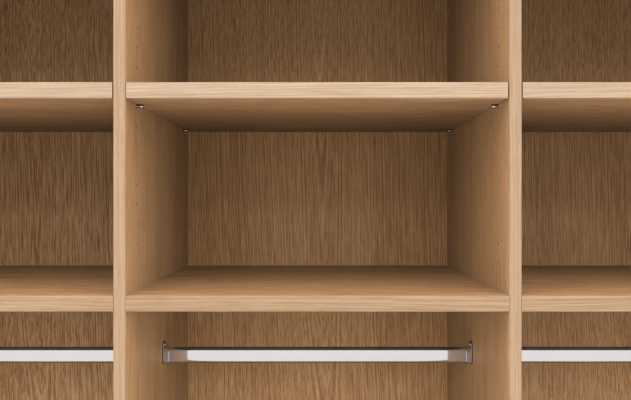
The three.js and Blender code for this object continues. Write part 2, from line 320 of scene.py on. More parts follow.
def make_oak_grain():
    """Oak as a solid: growth rings about a pith along Z, with fibres, pores and broad changes of tone."""
    group, given, result = new_effect("oak_grain", {
        "Vector": "Vector", "Light": "Color", "Dark": "Color", "Figure": "Float", "Fibre": "Float",
        "Drift": "Float", "Ring Scale": "Float",
    }, {"Color": "Color", "Roughness": "Float", "Height": "Float"})

    def vector(operation, first, second=(0.0, 0.0, 0.0)):
        return wire(group, "ShaderNodeVectorMath", {0: first, 1: second}, operation=operation).outputs

    def stretched(place, across, along):
        return vector("MULTIPLY", place, (across, across, along))["Vector"]

    def sums(first, second, operation="ADD"):
        return wire(group, "ShaderNodeMath", {0: first, 1: second}, operation=operation).outputs["Value"]

    def line(value, low, high, strength):
        return sums(spread(group, value, -0.5, 0.5, low, high), strength, "MULTIPLY")

    # The log is not straight: its rings wander, more in depth than across, which draws the arches.
    drift = wire(group, "ShaderNodeTexNoise", {
        "Vector": stretched(given["Vector"], 2.5, 1.0), "Scale": 1.0, "Detail": 1.0, "Roughness": 0.55})
    offset = vector("SUBTRACT", drift.outputs["Color"], (0.5, 0.5, 0.5))["Vector"]
    wander = vector("MULTIPLY", offset, (0.05, 0.06, 0.0))["Vector"]
    scaled = wire(group, "ShaderNodeVectorMath", {0: wander, "Scale": given["Drift"]}, operation="SCALE")
    flowed = vector("ADD", given["Vector"], scaled.outputs["Vector"])["Vector"]
    radius = vector("LENGTH", stretched(flowed, 1.0, 0.0))["Value"]
    rings = wire(group, "ShaderNodeTexNoise", {
        "W": radius, "Scale": given["Ring Scale"], "Detail": 4.0, "Roughness": 0.6,
    }, noise_dimensions="1D").outputs["Fac"]
    fibres = noise(group, stretched(flowed, 750.0, 9.0), 1.0, 3.0, Roughness=0.7)
    flecks = noise(group, stretched(flowed, 1500.0, 60.0), 1.0, 1.0, Roughness=0.55)
    tone = noise(group, stretched(given["Vector"], 14.0, 1.4), 1.0, 2.0, Roughness=0.55)
    ring_line = line(rings, 0.32, 0.68, given["Figure"])
    fibre_line = line(fibres, 0.34, 0.66, given["Fibre"])
    tone_field = line(tone, 0.3, 0.7, 0.22)
    pore_line = sums(
        spread(group, flecks, 0.0, 1.0, 0.6, 0.75), spread(group, rings, 0.25, 1.0, 0.4, 0.6), "MULTIPLY")
    depth = sums(sums(sums(ring_line, fibre_line), tone_field), 0.5)
    wood = blend(group, depth, given["Light"], given["Dark"])
    pored = blend(group, sums(pore_line, 0.4, "MULTIPLY"), wood, paint(104, 74, 48))
    group.links.new(pored, result["Color"])
    group.links.new(spread(group, sums(fibres, pore_line), 0.5, 0.68, 0.3, 1.3), result["Roughness"])
    group.links.new(sums(sums(fibres, 0.3, "MULTIPLY"), pore_line, "SUBTRACT"), result["Height"])
    return group


oak_grain = make_oak_grain()
draws = random.Random(26)
grey_light = (0.48, 0.46, 0.42, 1.0)


def oak(name, tones, turn, pith, figure=0.5, fibre=1.3, drift=0.5, ring_scale=200.0, sheen=1.0,
        passed_on=grey_light, painted_reflection=(0.12, 0.06, 0.025, 1.0)):
    """Oak in a light and a dark tone, its grain turned to the board and its pith through a point."""
    material, tree, place = new_finish(name, {"Specular IOR Level": 0.32})
    turned_pith = Euler(turn).to_matrix() @ Vector(pith)
    mapped = wire(tree, "ShaderNodeMapping", {
        "Vector": place, "Rotation": turn, "Location": -turned_pith}).outputs["Vector"]
    grain = wire(tree, "ShaderNodeGroup", node_tree=oak_grain)
    tree.links.new(mapped, grain.inputs["Vector"])
    character = {"Light": tones[0], "Dark": tones[1], "Figure": figure, "Fibre": fibre, "Drift": drift,
                 "Ring Scale": ring_scale}
    for socket, value in character.items():
        grain.inputs[socket].default_value = value
    # Light passed on from board to board stays grey, so the shade in the corners is no redder than the oak.
    # In the chrome the oak shows darker than it is lit: a painted darker reflection of the wood.
    rays = wire(tree, "ShaderNodeLightPath").outputs
    mirrored = blend(tree, rays["Is Glossy Ray"], grain.outputs["Color"], painted_reflection)
    tint = blend(tree, rays["Is Diffuse Ray"], mirrored, passed_on)
    gloss = wire(tree, "ShaderNodeMath", {0: grain.outputs["Roughness"], 1: sheen}, operation="MULTIPLY")
    coat(tree, tint, gloss.outputs["Value"], bump(tree, grain.outputs["Height"], 0.25, 0.12 * mm))
    return material


def particle_board():
    """The raw core of the boards: pressed chips of many browns, rough and dry."""
    material, tree, place = new_finish("particle_board", {"Specular IOR Level": 0.15})
    chips = wire(tree, "ShaderNodeTexVoronoi", {"Vector": place, "Scale": 420.0, "Randomness": 1.0}).outputs
    dust = noise(tree, place, 1500.0, 3.0)
    shade = wire(tree, "ShaderNodeSeparateColor", {"Color": chips["Color"]}).outputs["Red"]
    tint = blend(tree, shade, paint(196, 162, 120), paint(148, 112, 76))
    coat(tree, blend(tree, dust, tint, paint(176, 140, 100)), spread(tree, dust, 0.75, 0.98),
         bump(tree, chips["Distance"], 0.6, 0.3 * mm))
    return material


raw_core = particle_board()
standing_turn = (0.022, 0.012, math.pi / 2)
face_tones = (paint(246, 190, 134), paint(179, 126, 82))
upright_passes_on = (0.3, 0.29, 0.27, 1.0)
# Uprights show in the chrome in a lighter painted reflection than the other oak.
upright_painted_reflection = (0.5, 0.29, 0.16, 1.0)
# Tops and outer sides, which the room lights most, get a darker, greyer copy of the oak: painted shade.
shaded_tones = (paint(206, 170, 132), paint(170, 134, 99))
hole_pitch = 32.0 * mm
first_hole_rise = 44.0 * mm
hole_radius = 2.5 * mm
dowel_radius = 4.0 * mm
dowel_inset = 90.0 * mm
plinth_dowel_inset = 18.0 * mm
web = 3.0 * mm
groove_depth = 6.0 * mm
peg_drop = 11.5 * mm
screw_rise = 20.5 * mm
screw_bore = 2.1 * mm
squarely = 0.9
fixed_boards = ("bottom_panel", "fixed_shelf", "top_panel")


def bores_of_one_face(bay, face_x, side):
    """Cutters for all that is bored and grooved into one face of an upright. Side is -1 or 1."""
    bottom = face_x - side * (upright_thickness - web) / 2
    mouth = face_x + side * overrun
    cutters = []

    def bore(radius, y, z):
        cutters.append(drill(radius, (bottom, y, z), (mouth, y, z)))

    shelf_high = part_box(f"{bay}_bay_fixed_shelf")[1]
    top_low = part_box(f"{bay}_bay_top_panel")[0]
    hole_space = top_low.z - shelf_high.z - 2 * first_hole_rise
    for row in ("front", "rear"):
        row_y = middle_of(f"{bay}_bay_shelf_pin_{row}_left").y
        for hole in range(math.floor(hole_space / hole_pitch) + 1):
            bore(hole_radius, row_y, shelf_high.z + first_hole_rise + hole * hole_pitch)
    for board in fixed_boards:
        low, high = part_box(f"{bay}_bay_{board}")
        for y in (low.y + dowel_inset, high.y - dowel_inset):
            bore(dowel_radius + fit, y, (low.z + high.z) / 2)
    low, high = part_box(f"{bay}_bay_plinth_board")
    for z in (low.z + plinth_dowel_inset, high.z - plinth_dowel_inset):
        bore(dowel_radius + fit, (low.y + high.y) / 2, z)
    rail = middle_of(f"{bay}_bay_hanging_rail")
    bore(hole_radius, rail.y, rail.z - peg_drop)
    bore(screw_bore, rail.y, rail.z + screw_rise)
    low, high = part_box(f"{bay}_bay_back_panel")
    groove_x = sorted((face_x - side * groove_depth, mouth))
    cutters.append(block(
        "groove", (groove_x[0], low.y - fit, -overrun), (groove_x[1], high.y + fit, high.z + overrun)))
    return cutters


for index, upright in enumerate(uprights):
    low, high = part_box(upright)
    upright_thickness = high.x - low.x
    middle = (low + high) / 2
    board = block(f"{upright}_board", low + Vector((0, band_thickness, 0)), high)
    pith = (middle.x + draws.choice((-1, 1)) * draws.uniform(0.03, 0.06),
            middle.y + draws.uniform(-0.12, 0.12), draws.uniform(-0.4, 0.4))
    board.data.materials.append(oak(
        f"oak_{upright}", face_tones, standing_turn, pith, figure=0.3, fibre=0.7,
        passed_on=upright_passes_on, painted_reflection=upright_painted_reflection))
    cutters = []
    if index > 0:
        cutters += bores_of_one_face(bays[index - 1], low.x, -1)
    if index < len(bays):
        cutters += bores_of_one_face(bays[index], high.x, 1)
    for row in ("front", "rear"):
        y = middle_of(f"{upright}_glide_{row}").y
        cutters.append(drill(
            (stem_radius + 0.3) * mm, (middle.x, y, 0), (middle.x, y, glide_high.z + fit)))
    cut_away(board, cutters, raw_core)
    repaint(board, raw_core, lambda face: face.normal.y > squarely and face.center.y > high.y - mm)
    repaint(board, raw_core, lambda face: face.normal.z < -squarely and face.center.z < low.z + mm)
    # The top ends of all uprights and the outer faces of the side panels get this painted shade.
    shaded_outside_oak = oak(
        f"oak_{upright}_outside", shaded_tones, standing_turn, pith, fibre=0.65, drift=0.7,
        passed_on=upright_passes_on, painted_reflection=upright_painted_reflection)
    repaint(board, shaded_outside_oak, lambda face: face.normal.z > squarely and face.center.z > high.z - fit)
    if index in (0, len(bays)):
        outer_x, side = (low.x, -1) if index == 0 else (high.x, 1)
        repaint(board, shaded_outside_oak,
                lambda face: face.normal.x * side > squarely and abs(face.center.x - outer_x) < fit)
    smooth(board)
    seat(board, "carcass", "oak_upright", None, upright)

# Edge bands of the uprights
# A strip of solid oak, 2 mm thick, is glued along the front edge of each upright.
# Its two long edges are milled round, and it is paler than the faces because it is cut, not peeled.
band_radius = 1.9 * mm
hair = 0.01 * mm
upright_band_tones = (paint(195, 163, 131), paint(180, 145, 111))


def mark(piece, kind, test):
    """In edit mode, selects only the vertices, edges or faces that pass the test."""
    bpy.ops.mesh.select_all(action="DESELECT")
    bpy.ops.mesh.select_mode(type={"verts": "VERT", "edges": "EDGE", "faces": "FACE"}[kind])
    mesh = bmesh.from_edit_mesh(piece.data)
    mesh.normal_update()
    for element in getattr(mesh, kind):
        if test(element):
            element.select_set(True)
    bmesh.update_edit_mesh(piece.data)


def round_edges(piece, radius, segments, test, **more):
    """In edit mode, rounds off the edges of a piece that pass the test."""
    mark(piece, "edges", test)
    bpy.ops.mesh.bevel(offset=radius, segments=segments, affect="EDGES", **more)


def ease(piece, radius, segments, test):
    """Rounds off the edges of a whole piece that pass the test."""
    take(piece)
    bpy.ops.object.mode_set(mode="EDIT")
    round_edges(piece, radius, segments, test)
    bpy.ops.object.mode_set(mode="OBJECT")


def wholly(edge, test):
    return all(test(vertex.co) for vertex in edge.verts)


def runs_along(edge, axis):
    """Whether an edge runs along an axis, 0 for X, 1 for Y and 2 for Z."""
    run = edge.verts[1].co - edge.verts[0].co
    return abs(run[axis]) > squarely * run.length


def edge_band(name, low, high, axis):
    """A strip whose front edges along one axis are milled round."""
    band = block(name, low, high)
    ease(band, band_radius, 5, lambda edge: (
        runs_along(edge, axis) and wholly(edge, lambda co: co.y < low.y + hair)))
    smooth(band, 40)
    return band


for upright in uprights:
    low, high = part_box(upright)
    band = edge_band(
        f"{upright}_edge_band", low, Vector((high.x, low.y + band_thickness, high.z)), 2)
    pith = (low.x + draws.uniform(0.11, 0.19), low.y + draws.uniform(-0.03, 0.03), draws.uniform(-0.4, 0.4))
    band_oak = oak(
        f"oak_band_{upright}", upright_band_tones, (0.004, 0.006, 0.0), pith,
        figure=0.9, fibre=1.7, drift=0.3, ring_scale=260.0, sheen=0.7,
        passed_on=upright_passes_on, painted_reflection=upright_painted_reflection)
    seat(band, "carcass", "oak_upright", band_oak)

# Plinth boards
# A 16 mm oak-faced board stands back under the front of each bay, between the uprights.
# It hides the gap to the floor. Two beech dowels in each end hold it, and its lower edge is eased.
plinth_ease = 0.8 * mm
dowel_reach = 7.7 * mm
dowel_depth = 22.0 * mm


def in_every_bay(*parts):
    """Bay by bay, the CAD nodes of these parts with the two corners of their boxes."""
    for bay in bays:
        for part in parts:
            node = f"{bay}_bay_{part}"
            yield (bay, node, *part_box(node))


def lay_along(piece, place=(0, 0, 0)):
    """Lays a piece that was turned on Z along X, from a place inwards."""
    piece.data.transform(Matrix.Translation(place) @ Matrix.Rotation(math.pi / 2, 4, "Y"))


def fluted_dowel():
    """A beech dowel, 30 mm long, with grooves pressed in and both ends chamfered."""
    length = (dowel_reach + dowel_depth) / mm
    radius = dowel_radius / mm - 0.15
    chamfer = 0.8
    dowel = turn_on_lathe("dowel", 24, [
        (radius - chamfer, 0), (radius, chamfer), (radius, length - chamfer), (radius - chamfer, length)])
    bpy.ops.object.mode_set(mode="EDIT")

    def every_other_side(face):
        turn = math.degrees(math.atan2(face.normal.y, face.normal.x)) % 30
        return abs(face.normal.z) < 0.1 and turn < 15

    mark(dowel, "faces", every_other_side)
    bpy.ops.mesh.inset(thickness=0.1 * mm, depth=-0.25 * mm, use_individual=True)
    bpy.ops.object.mode_set(mode="OBJECT")
    lay_along(dowel)
    return dowel


def beech():
    """Pale straight-grained beech with its small dark flecks."""
    material, tree, place = new_finish("beech", {"Specular IOR Level": 0.3})
    along = wire(tree, "ShaderNodeMapping", {"Vector": place, "Scale": (60.0, 900.0, 900.0)})
    fleck = noise(tree, along.outputs["Vector"], 1.0, 3.0)
    coat(tree, blend(tree, fleck, paint(226, 196, 156), paint(188, 150, 108)),
         spread(tree, fleck, 0.6, 0.8), bump(tree, fleck, 0.3, 0.1 * mm))
    return material


def place_at_ends(pattern, name, low_x, high_x, places):
    """Copies a piece modelled from X zero inwards to both ends of a board, and joins the copies."""
    copies = []
    for y, z in places:
        copies.append(copy_to(pattern, name, Matrix.Translation((low_x, y, z))))
        turned = Matrix.Translation((high_x, y, z)) @ Matrix.Rotation(math.pi, 4, "Z")
        copies.append(copy_to(pattern, name, turned))
    return join(name, copies)


def dowel_bores(low_x, high_x, places):
    """Cutters for the dowels in both ends of a board."""
    bores = []
    depth = dowel_depth + mm
    for y, z in places:
        bores.append(drill(dowel_radius, (low_x - overrun, y, z), (low_x + depth, y, z)))
        bores.append(drill(dowel_radius, (high_x - depth, y, z), (high_x + overrun, y, z)))
    return bores


beech_finish = beech()
dowel = fluted_dowel()
plinth_tones = (paint(204, 168, 131), paint(172, 136, 101))
oak_plinth = oak("oak_plinth", plinth_tones, (0.0, math.pi / 2 + 0.01, 0.0), (0.0, -0.2, 0.04))
for bay, node, low, high in in_every_bay("plinth_board"):
    end_low, end_high = low.x + dowel_reach, high.x - dowel_reach
    middle_y = (low.y + high.y) / 2
    places = [(middle_y, low.z + plinth_dowel_inset), (middle_y, high.z - plinth_dowel_inset)]
    board = block(f"{bay}_bay_plinth", (end_low, low.y, low.z), (end_high, high.y, high.z))
    board.data.materials.append(oak_plinth)
    ease(board, plinth_ease, 3, lambda edge: (
        runs_along(edge, 0) and wholly(edge, lambda co: co.z < low.z + mm)))
    cut_away(board, dowel_bores(end_low, end_high, places), raw_core)
    repaint(board, raw_core, lambda face: abs(face.normal.x) > squarely)
    smooth(board)
    seat(board, "carcass", "oak_shelf", None, node)
    pegs = place_at_ends(dowel, f"{bay}_bay_plinth_dowels", low.x, high.x, places)
    seat(pegs, "carcass", "oak_shelf", beech_finish)

# Fixed boards
# Bottom panel, fixed shelf and top panel of each bay: 25 mm particle board faced with oak along its length.
# Each end is drawn to its upright by two cam fittings and kept in line by two dowels, out of sight.
cam_radius = 7.5 * mm
cam_height = 12.5 * mm
cam_inset = 34.0 * mm
cam_place = 46.0 * mm
bolt_bore = 3.6 * mm
cam_step = 0.6 * mm
lying_turn = (0.0, math.pi / 2 + 0.015, math.pi / 2)
# The top panels pass on little light: painted shade on the backs just under them.
top_passes_on = (0.1, 0.1, 0.09, 1.0)


def cam_housing():
    """A zinc cam, seen from its slotted face, standing on the XY plane."""
    cam = turn_on_lathe("cam", 32, [
        (6.6, 0), (7.3, 0.5), (7.3, 3.5), (6.2, 4.0), (6.2, 9.5), (7.3, 10.0), (7.3, 12.0), (6.8, 12.5)])
    slot_half, slot_reach, slot_depth = 0.9 * mm, 4.5 * mm, 2.0 * mm
    slots = [
        block("slot", (-slot_reach, -slot_half, -slot_depth), (slot_reach, slot_half, slot_depth)),
        block("slot", (-slot_half, -slot_reach, -slot_depth), (slot_half, slot_reach, slot_depth)),
    ]
    cam.data.materials.append(zinc_finish)
    for slot in slots:
        cut_away(cam, [slot], zinc_finish)
    smooth(cam)
    return cam


def cam_bolt():
    """The steel bolt that the cam pulls on: a thread in the upright, a collar, a neck and a round head."""
    thread = repeated([(2.4, 0.0), (3.0, 0.4), (2.4, 0.8)], 6, 0.4, 1.1)
    collar = dowel_reach / mm
    end = collar + cam_inset / mm
    bolt = turn_on_lathe("bolt", 20, [(2.2, 0.0)] + thread + [
        (2.4, collar), (3.4, collar + 0.1), (3.4, collar + 1.5), (2.6, collar + 1.6),
        (2.6, end - 8), (1.8, end - 7), (1.8, end - 3), (3.0, end - 2.6), (2.4, end - 0.4)])
    smooth(bolt)
    lay_along(bolt)
    return bolt


def make_worn_metal():
    """Handling marks for all plated metal: a cloudy gloss with fine scratches in every direction."""
    group, given, result = new_effect(
        "worn_metal", {"Vector": "Vector", "Polished": "Float", "Worn": "Float"},
        {"Roughness": "Float", "Height": "Float"})
    cloud = noise(group, given["Vector"], 60.0, 4.0)
    rubbed = wire(group, "ShaderNodeMapping", {"Vector": given["Vector"], "Scale": (120.0, 2200.0, 2200.0)})
    scratch = noise(group, rubbed.outputs["Vector"], 1.0, 2.0, Distortion=0.4)
    lines = spread(group, scratch, 0.0, 0.6, 0.62, 0.74)
    haze = spread(group, cloud, 0.0, 0.7, 0.4, 0.7)
    both = wire(group, "ShaderNodeMath", {0: lines, 1: haze}, operation="MAXIMUM").outputs["Value"]
    gloss = blend(group, both, given["Polished"], given["Worn"], "FLOAT")
    group.links.new(gloss, result["Roughness"])
    group.links.new(lines, result["Height"])
    return group


worn_metal = make_worn_metal()


def plated(name, light, dull, polished, worn, relief, metallic=1.0):
    """Plated metal whose tint and gloss change a little where it has been handled."""
    material, tree, place = new_finish(name, {"Metallic": metallic})
    marks = wire(tree, "ShaderNodeGroup", node_tree=worn_metal)
    tree.links.new(place, marks.inputs["Vector"])
    marks.inputs["Polished"].default_value = polished
    marks.inputs["Worn"].default_value = worn
    coat(tree, blend(tree, noise(tree, place, 35.0, 3.0), light, dull), marks.outputs["Roughness"],
         bump(tree, marks.outputs["Height"], 0.12, relief, invert=True))
    return material


def fitted_board(name, node, low, high, turn, pith):
    """A board between two uprights, bored for its dowels, bolts and cams, and its fittings."""
    board = block(name, low, high)
    is_top = "top_panel" in node
    passed_on = top_passes_on if is_top else grey_light
    board.data.materials.append(oak(f"oak_{name}", face_tones, turn, pith, passed_on=passed_on))
    middle_z = (low.z + high.z) / 2
    front_y = low.y - band_thickness
    dowel_places = [(y, middle_z) for y in (front_y + dowel_inset, high.y - dowel_inset)]
    bolt_places = [(y, middle_z) for y in (front_y + cam_place, high.y - cam_place)]
    hidden_side, hidden_z = (1, high.z) if is_top else (-1, low.z)
    cut_away(board, dowel_bores(low.x, high.x, dowel_places), raw_core)
    for y, z in bolt_places:
        for end, step in ((low.x, 1), (high.x, -1)):
            inner = end + step * cam_inset
            cut_away(board, [drill(bolt_bore, (end - step * overrun, y, z), (inner, y, z))], raw_core)
            cut_away(board, [drill(
                cam_radius, (inner, y, hidden_z + hidden_side * overrun),
                (inner, y, hidden_z - hidden_side * (cam_height + mm)), 32)], raw_core)
    repaint(board, raw_core, lambda face: abs(face.normal.x) > squarely or face.normal.y > squarely)
    # The upper faces of the bottom and top panels get the darker copy of the oak: painted shade where the
    # light falls strongest.
    if "fixed_shelf" not in node:
        shaded_face = oak(f"oak_{name}_upper", shaded_tones, turn, pith, fibre=0.8, drift=0.7)
        repaint(board, shaded_face, lambda face: face.normal.z > squarely and face.center.z > high.z - fit)
    smooth(board)
    seat(board, "carcass", "oak_shelf", None, node)
    ends = (low.x - dowel_reach, high.x + dowel_reach)
    pegs = place_at_ends(dowel, f"{name}_dowels", *ends, dowel_places)
    seat(pegs, "carcass", "oak_shelf", beech_finish)
    bolts = place_at_ends(bolt, f"{name}_cam_bolts", *ends, bolt_places)
    seat(bolts, "carcass", "screw_steel", steel_finish)
    cams, caps = [], []
    over = Matrix.Rotation(math.pi if is_top else 0.0, 4, "X")
    for y, z in bolt_places:
        for x in (low.x + cam_inset, high.x - cam_inset):
            inside = Matrix.Translation((x, y, hidden_z - hidden_side * cam_step)) @ over
            cams.append(copy_to(cam, name, inside))
            caps.append(copy_to(cap, name, Matrix.Translation((x, y, hidden_z)) @ over))
    seat(join(f"{name}_cams", cams), "carcass", "bracket_zinc", None)
    seat(join(f"{name}_cover_caps", caps), "carcass", "oak_shelf", cap_finish)


zinc_finish = plated("zinc_plate", paint(206, 208, 208), paint(178, 181, 184), 0.3, 0.5, 0.05 * mm)
steel_finish = plated("steel_plate", paint(214, 208, 198), paint(182, 176, 168), 0.16, 0.34, 0.05 * mm)
cap_finish = moulded_plastic("cap_plastic", paint(196, 154, 112), 0.5 * mm)
cam = cam_housing()
bolt = cam_bolt()
cap = turn_on_lathe("cap", 36, [
    (4.0, 3.0), (6.6, 3.0), (6.6, 0.02), (8.6, 0.0), (8.6, -0.35), (8.2, -0.7), (7.4, -0.9), (3.0, -1.0)])
smooth(cap)


def pith_under(low, high):
    """A pith that runs a little below a lying board."""
    return 0.0, (low.y + high.y) / 2 + draws.uniform(-0.12, 0.12), low.z - draws.uniform(0.02, 0.05)


for bay, node, low, high in in_every_bay(*fixed_boards):
    core_low = Vector((low.x + dowel_reach, low.y + band_thickness, low.z))
    core_high = Vector((high.x - dowel_reach, high.y, high.z))
    fitted_board(f"{node}_board", node, core_low, core_high, lying_turn, pith_under(low, high))
scrap(dowel, cam, bolt, cap)

# Edge bands of the fixed boards
# The same 2 mm oak strip on the front edges of the bottom panels, fixed shelves and top panels.
# It is cut square at the uprights and milled round above and below; its grain runs along the board.
board_band_tones = (paint(194, 160, 127), paint(169, 134, 100))


def strip_oak(name, tones, low):
    """Solid oak for a strip along the front of a lying board."""
    pith = (0.0, low.y + draws.uniform(-0.02, 0.02), low.z - draws.uniform(0.08, 0.16))
    turn = (0.0, math.pi / 2 + draws.uniform(-0.03, 0.03), 0.0)
    return oak(name, tones, turn, pith, figure=0.7, drift=0.4, ring_scale=260.0, sheen=0.7)


for bay, node, low, high in in_every_bay(*fixed_boards):
    band = edge_band(
        f"{node}_edge_band", Vector((low.x + dowel_reach, low.y, low.z)),
        Vector((high.x - dowel_reach, low.y + band_thickness, high.z)), 0)
    band_oak = strip_oak(f"oak_band_{node}", board_band_tones, low)
    seat(band, "carcass", "oak_shelf", band_oak)

# Backs
# An 8 mm board faced with oak in front stands in the grooves behind each bay, its edges sawn and eased.
# Its grain runs upright, with the arched figure of a board cut off-centre; its rear has a plain foil.
back_ease = 0.3 * mm
back_turn = (0.03, 0.02, 0.0)
back_oaks = {
    "left": ((paint(235, 186, 131), paint(177, 116, 68)), 0.95, 1.9, 330.0),
    "centre": ((paint(249, 197, 139), paint(187, 123, 72)), 0.7, 1.0, 300.0),
    "right": ((paint(239, 189, 134), paint(180, 118, 69)), 0.66, 1.05, 330.0),
}


def backing_foil():
    """The printed paper foil on the rear: pale brown with faint fibres and small rubbed spots."""
    material, tree, place = new_finish("backing_foil", {"Specular IOR Level": 0.25})
    drawn_out = wire(tree, "ShaderNodeVectorMath", {0: place, 1: (260.0, 260.0, 9.0)}, operation="MULTIPLY")
    fibre = noise(tree, drawn_out.outputs["Vector"], 1.0, 3.0)
    rubbed = noise(tree, place, 6.0, 4.0)
    coat(tree, blend(tree, fibre, paint(208, 181, 148), paint(184, 156, 124)),
         spread(tree, rubbed, 0.5, 0.8), bump(tree, fibre, 0.2, 0.05 * mm))
    return material


rear_foil = backing_foil()
for bay, node, low, high in in_every_bay("back_panel"):
    back = block(f"{bay}_bay_back", low, high)
    ease(back, back_ease, 2, lambda edge: True)
    pith = ((low.x + high.x) / 2 + draws.uniform(-0.12, 0.12), low.y - draws.uniform(0.02, 0.05), 1.0)
    tones, figure, fibre, ring_scale = back_oaks[bay]
    back.data.materials.append(oak(
        f"oak_back_{bay}", tones, back_turn, pith, figure, fibre, drift=1.0,
        ring_scale=ring_scale, passed_on=upright_passes_on))
    repaint(back, rear_foil, lambda face: face.normal.y > squarely)
    repaint(back, raw_core, lambda face: abs(face.normal.y) < 0.5)
    smooth(back)
    seat(back, "carcass", "oak_back", None, node)

# Adjustable shelves
# One loose board in each bay, 25 mm thick and banded at the front, lying on four metal pins.
# The front band is solid oak of a paler batch, milled round on all its edges. Each slides out by itself.
rear_ease = 0.5 * mm
band_end_ease = 0.6 * mm
# The upper faces of the loose shelves pass on more light than the other boards: painted light on the backs
# and boards near them.
loose_passes_on = (0.52, 0.5, 0.46, 1.0)
loose_tones = (paint(252, 195, 138), paint(185, 131, 86))
loose_band_tones = (paint(210, 182, 153), paint(187, 156, 127))
for bay, node, low, high in in_every_bay("adjustable_shelf"):
    shelf = block(f"{bay}_bay_loose_shelf", (low.x, low.y + band_thickness, low.z), high)
    ease(shelf, rear_ease, 2, lambda edge: wholly(edge, lambda co: co.y > high.y - mm))
    smooth(shelf)
    pith = pith_under(low, high)
    shelf.data.materials.append(oak(f"oak_{bay}_loose_shelf", loose_tones, lying_turn, pith))
    # The upper face gets the darker copy of the oak: painted shade where the light falls strongest.
    shaded_upper_oak = oak(
        f"oak_{bay}_loose_shelf_upper", shaded_tones, lying_turn, pith, fibre=0.8,
        drift=0.7, passed_on=loose_passes_on)
    repaint(shelf, shaded_upper_oak, lambda face: face.normal.z > squarely)
    seat(shelf, f"{bay}_bay_shelf", "oak_shelf", None, node)
    band = edge_band(
        f"{bay}_bay_loose_shelf_edge_band", low, Vector((high.x, low.y + band_thickness, high.z)), 0)
    ease(band, band_end_ease, 2, lambda edge: (
        not runs_along(edge, 0) and wholly(edge, lambda co: co.y < low.y + hair)))
    band_oak = strip_oak(f"oak_band_{bay}_loose_shelf", loose_band_tones, low)
    seat(band, f"{bay}_bay_shelf", "oak_shelf", band_oak)

# Shelf pins
# Twelve turned steel pins, nickel plated. The grooved peg is pushed into its 5 mm bore up to the collar,
# and the shelf lies on the barrel, whose end is rounded off.
centre_x = middle_of("centre_bay_back_panel").x


def about_bay(piece, name, bay, side, y):
    """Copies a piece modelled at the left of the centre bay to another bay, turned round for the right."""
    matrix = Matrix.Translation((middle_of(f"{bay}_bay_back_panel").x - centre_x, 0, 0))
    if side == "right":
        middle = Vector((centre_x, y, 0))
        matrix = (matrix @ Matrix.Translation(middle) @ Matrix.Rotation(math.pi, 4, "Z")
                  @ Matrix.Translation(-middle))
    return copy_to(piece, name, matrix)


def seat_on_both_sides(piece, part, ending, y, slot, finish):
    """Puts copies of a piece at the left and right of every bay, in place of their CAD nodes."""
    for bay in bays:
        for side in ("left", "right"):
            node = f"{bay}_bay_{part}_{side}"
            seat(about_bay(piece, f"{node}_{ending}", bay, side, y), "carcass", slot, finish, node)


pin_low, pin_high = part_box("centre_bay_shelf_pin_front_left")
bay_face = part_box("centre_bay_fixed_shelf")[0].x + dowel_reach
pin_height = (pin_low.z + pin_high.z) / 2
barrel_end = (pin_high.x - bay_face) / mm
collar = 0.6
grooves = repeated([(2.2, 0.0), (1.9, 0.2), (1.9, 0.5), (2.2, 0.7)], 5, -6.4, 1.2)
pin_profile = [(1.5, -7.7), (2.2, -7.0)] + grooves + [
    (2.2, 0.0), (3.7, 0.0), (4.0, 0.12), (4.0, collar - 0.15), (3.8, collar), (3.0, collar),
    (3.0, barrel_end - 1.4), (2.8, barrel_end - 0.6), (2.2, barrel_end - 0.15), (1.2, barrel_end)]
pin = turn_on_lathe("pin", 32, pin_profile)
smooth(pin, 45)
lay_along(pin, (bay_face, 0, pin_height))
nickel_finish = plated("nickel_plate", paint(230, 216, 200), paint(208, 194, 178), 0.1, 0.22, 0.03 * mm)
for row in ("front", "rear"):
    row_y = middle_of(f"centre_bay_shelf_pin_{row}_left").y
    row_pin = copy_to(pin, "row_pin", Matrix.Translation((0, row_y, 0)))
    seat_on_both_sides(row_pin, f"shelf_pin_{row}", "turned", row_y, "pin_nickel", nickel_finish)
    scrap(row_pin)
scrap(pin)

# Hanging rails
# One oval steel tube in each bay, 30 by 15 mm with a 1.2 mm wall, chromed bright.
# It is sawn to length, deburred and dropped into the open cups of its brackets.
tube_wall = 1.2 * mm


def round_off(piece, radius, segments, test, **more):
    """In edit mode, rounds the edges along X that pass the test, and merges what meets."""
    round_edges(piece, radius, segments, lambda edge: runs_along(edge, 0) and test(edge), **more)
    bpy.ops.mesh.select_all(action="SELECT")
    bpy.ops.mesh.remove_doubles(threshold=0.001 * mm)


rail_low, rail_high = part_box("centre_bay_hanging_rail")
rail = block("rail", rail_low, rail_high)
bpy.ops.object.mode_set(mode="EDIT")
round_off(rail, (rail_high.y - rail_low.y) / 2, 14, lambda edge: True)
mark(rail, "faces", lambda face: abs(face.normal.x) > squarely)
bpy.ops.mesh.delete(type="ONLY_FACE")
bpy.ops.object.mode_set(mode="OBJECT")
work_with(rail, "SOLIDIFY", thickness=tube_wall, offset=-1, use_even_offset=True)
smooth(rail)
work_with(rail, "WEIGHTED_NORMAL", keep_sharp=True)
chrome_finish = plated(
    "chrome_plate", paint(231, 229, 229), paint(224, 223, 223), 0.025, 0.07, 0.01 * mm, 0.93)
for bay in bays:
    node = f"{bay}_bay_hanging_rail"
    tube = about_bay(rail, f"{bay}_bay_rail_tube", bay, "left", 0)
    seat(tube, "carcass", "rail_chrome", chrome_finish, node)
scrap(rail)

